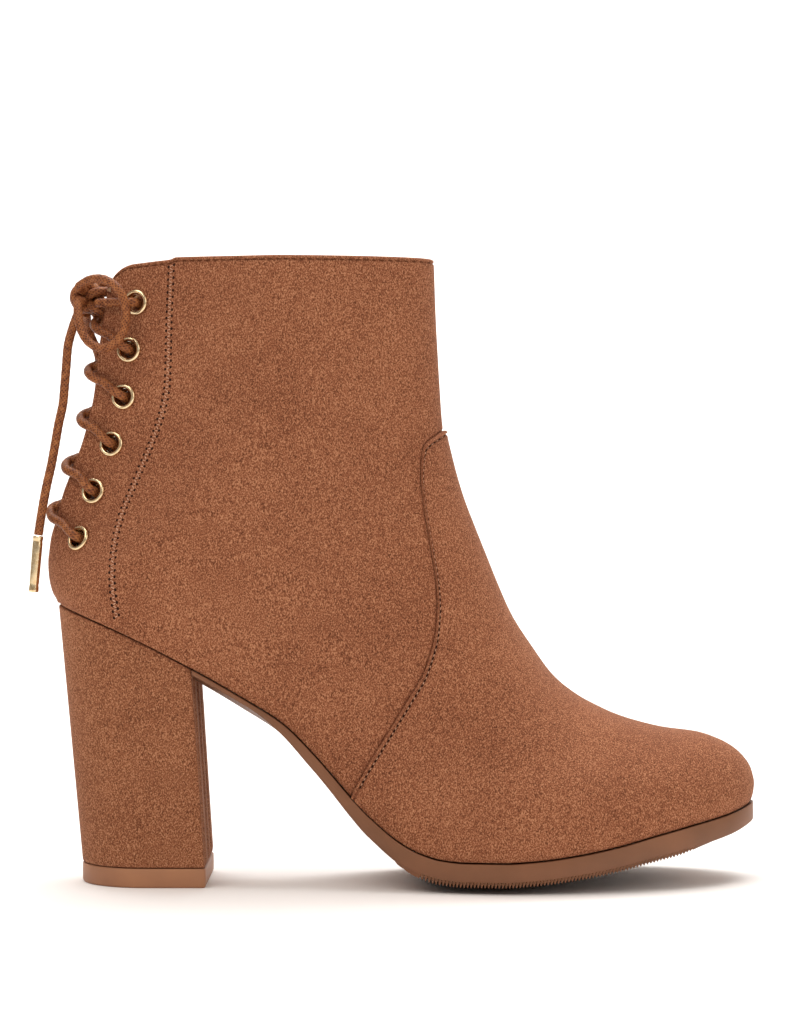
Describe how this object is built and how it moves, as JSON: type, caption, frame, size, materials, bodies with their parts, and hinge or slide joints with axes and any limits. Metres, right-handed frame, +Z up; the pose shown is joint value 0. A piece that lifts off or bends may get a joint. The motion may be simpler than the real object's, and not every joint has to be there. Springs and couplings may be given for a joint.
{
  "type": "lace up ankle boot",
  "caption": "Right ankle boot with a block heel and rounded toe, laced up a slit at the back through metal eyelets and tied in a bow.",
  "frame": {"origin": "on the floor under the middle of the boot's box, measured without its free cords", "axes": "+X towards the toe, +Y to the inner side, +Z up from the floor"},
  "size_m": [0.2416, 0.0838, 0.2065],
  "materials": {
    "suede": "tan brushed suede",
    "lining": "beige woven lining",
    "sole_rubber": "tan moulded rubber",
    "top_piece_rubber": "tan moulded rubber",
    "gold_metal": "pale gold plate",
    "lace_cord": "brown waxed round cord"
  },
  "bodies": {
    "root": {"upper": "suede", "back_gusset": "suede", "insole": "lining", "outsole": "sole_rubber", "heel": "suede", "heel_top_piece": "top_piece_rubber", "eyelet_near_1": "gold_metal", "eyelet_near_2": "gold_metal", "eyelet_near_3": "gold_metal", "eyelet_near_4": "gold_metal", "eyelet_near_5": "gold_metal", "eyelet_near_6": "gold_metal", "eyelet_far_1": "gold_metal", "eyelet_far_2": "gold_metal", "eyelet_far_3": "gold_metal", "eyelet_far_4": "gold_metal", "eyelet_far_5": "gold_metal", "eyelet_far_6": "gold_metal", "lace_cross_1": "lace_cord", "lace_cross_2": "lace_cord", "lace_cross_3": "lace_cord", "lace_cross_4": "lace_cord", "lace_cross_5": "lace_cord", "lace_top_bar": "lace_cord", "lace_knot": "lace_cord", "lace_loop_near": "lace_cord", "lace_loop_far": "lace_cord", "lace_end_near": "lace_cord", "lace_end_far": "lace_cord", "aglet_near": "gold_metal", "aglet_far": "gold_metal"}
  },
  "joints": []
}
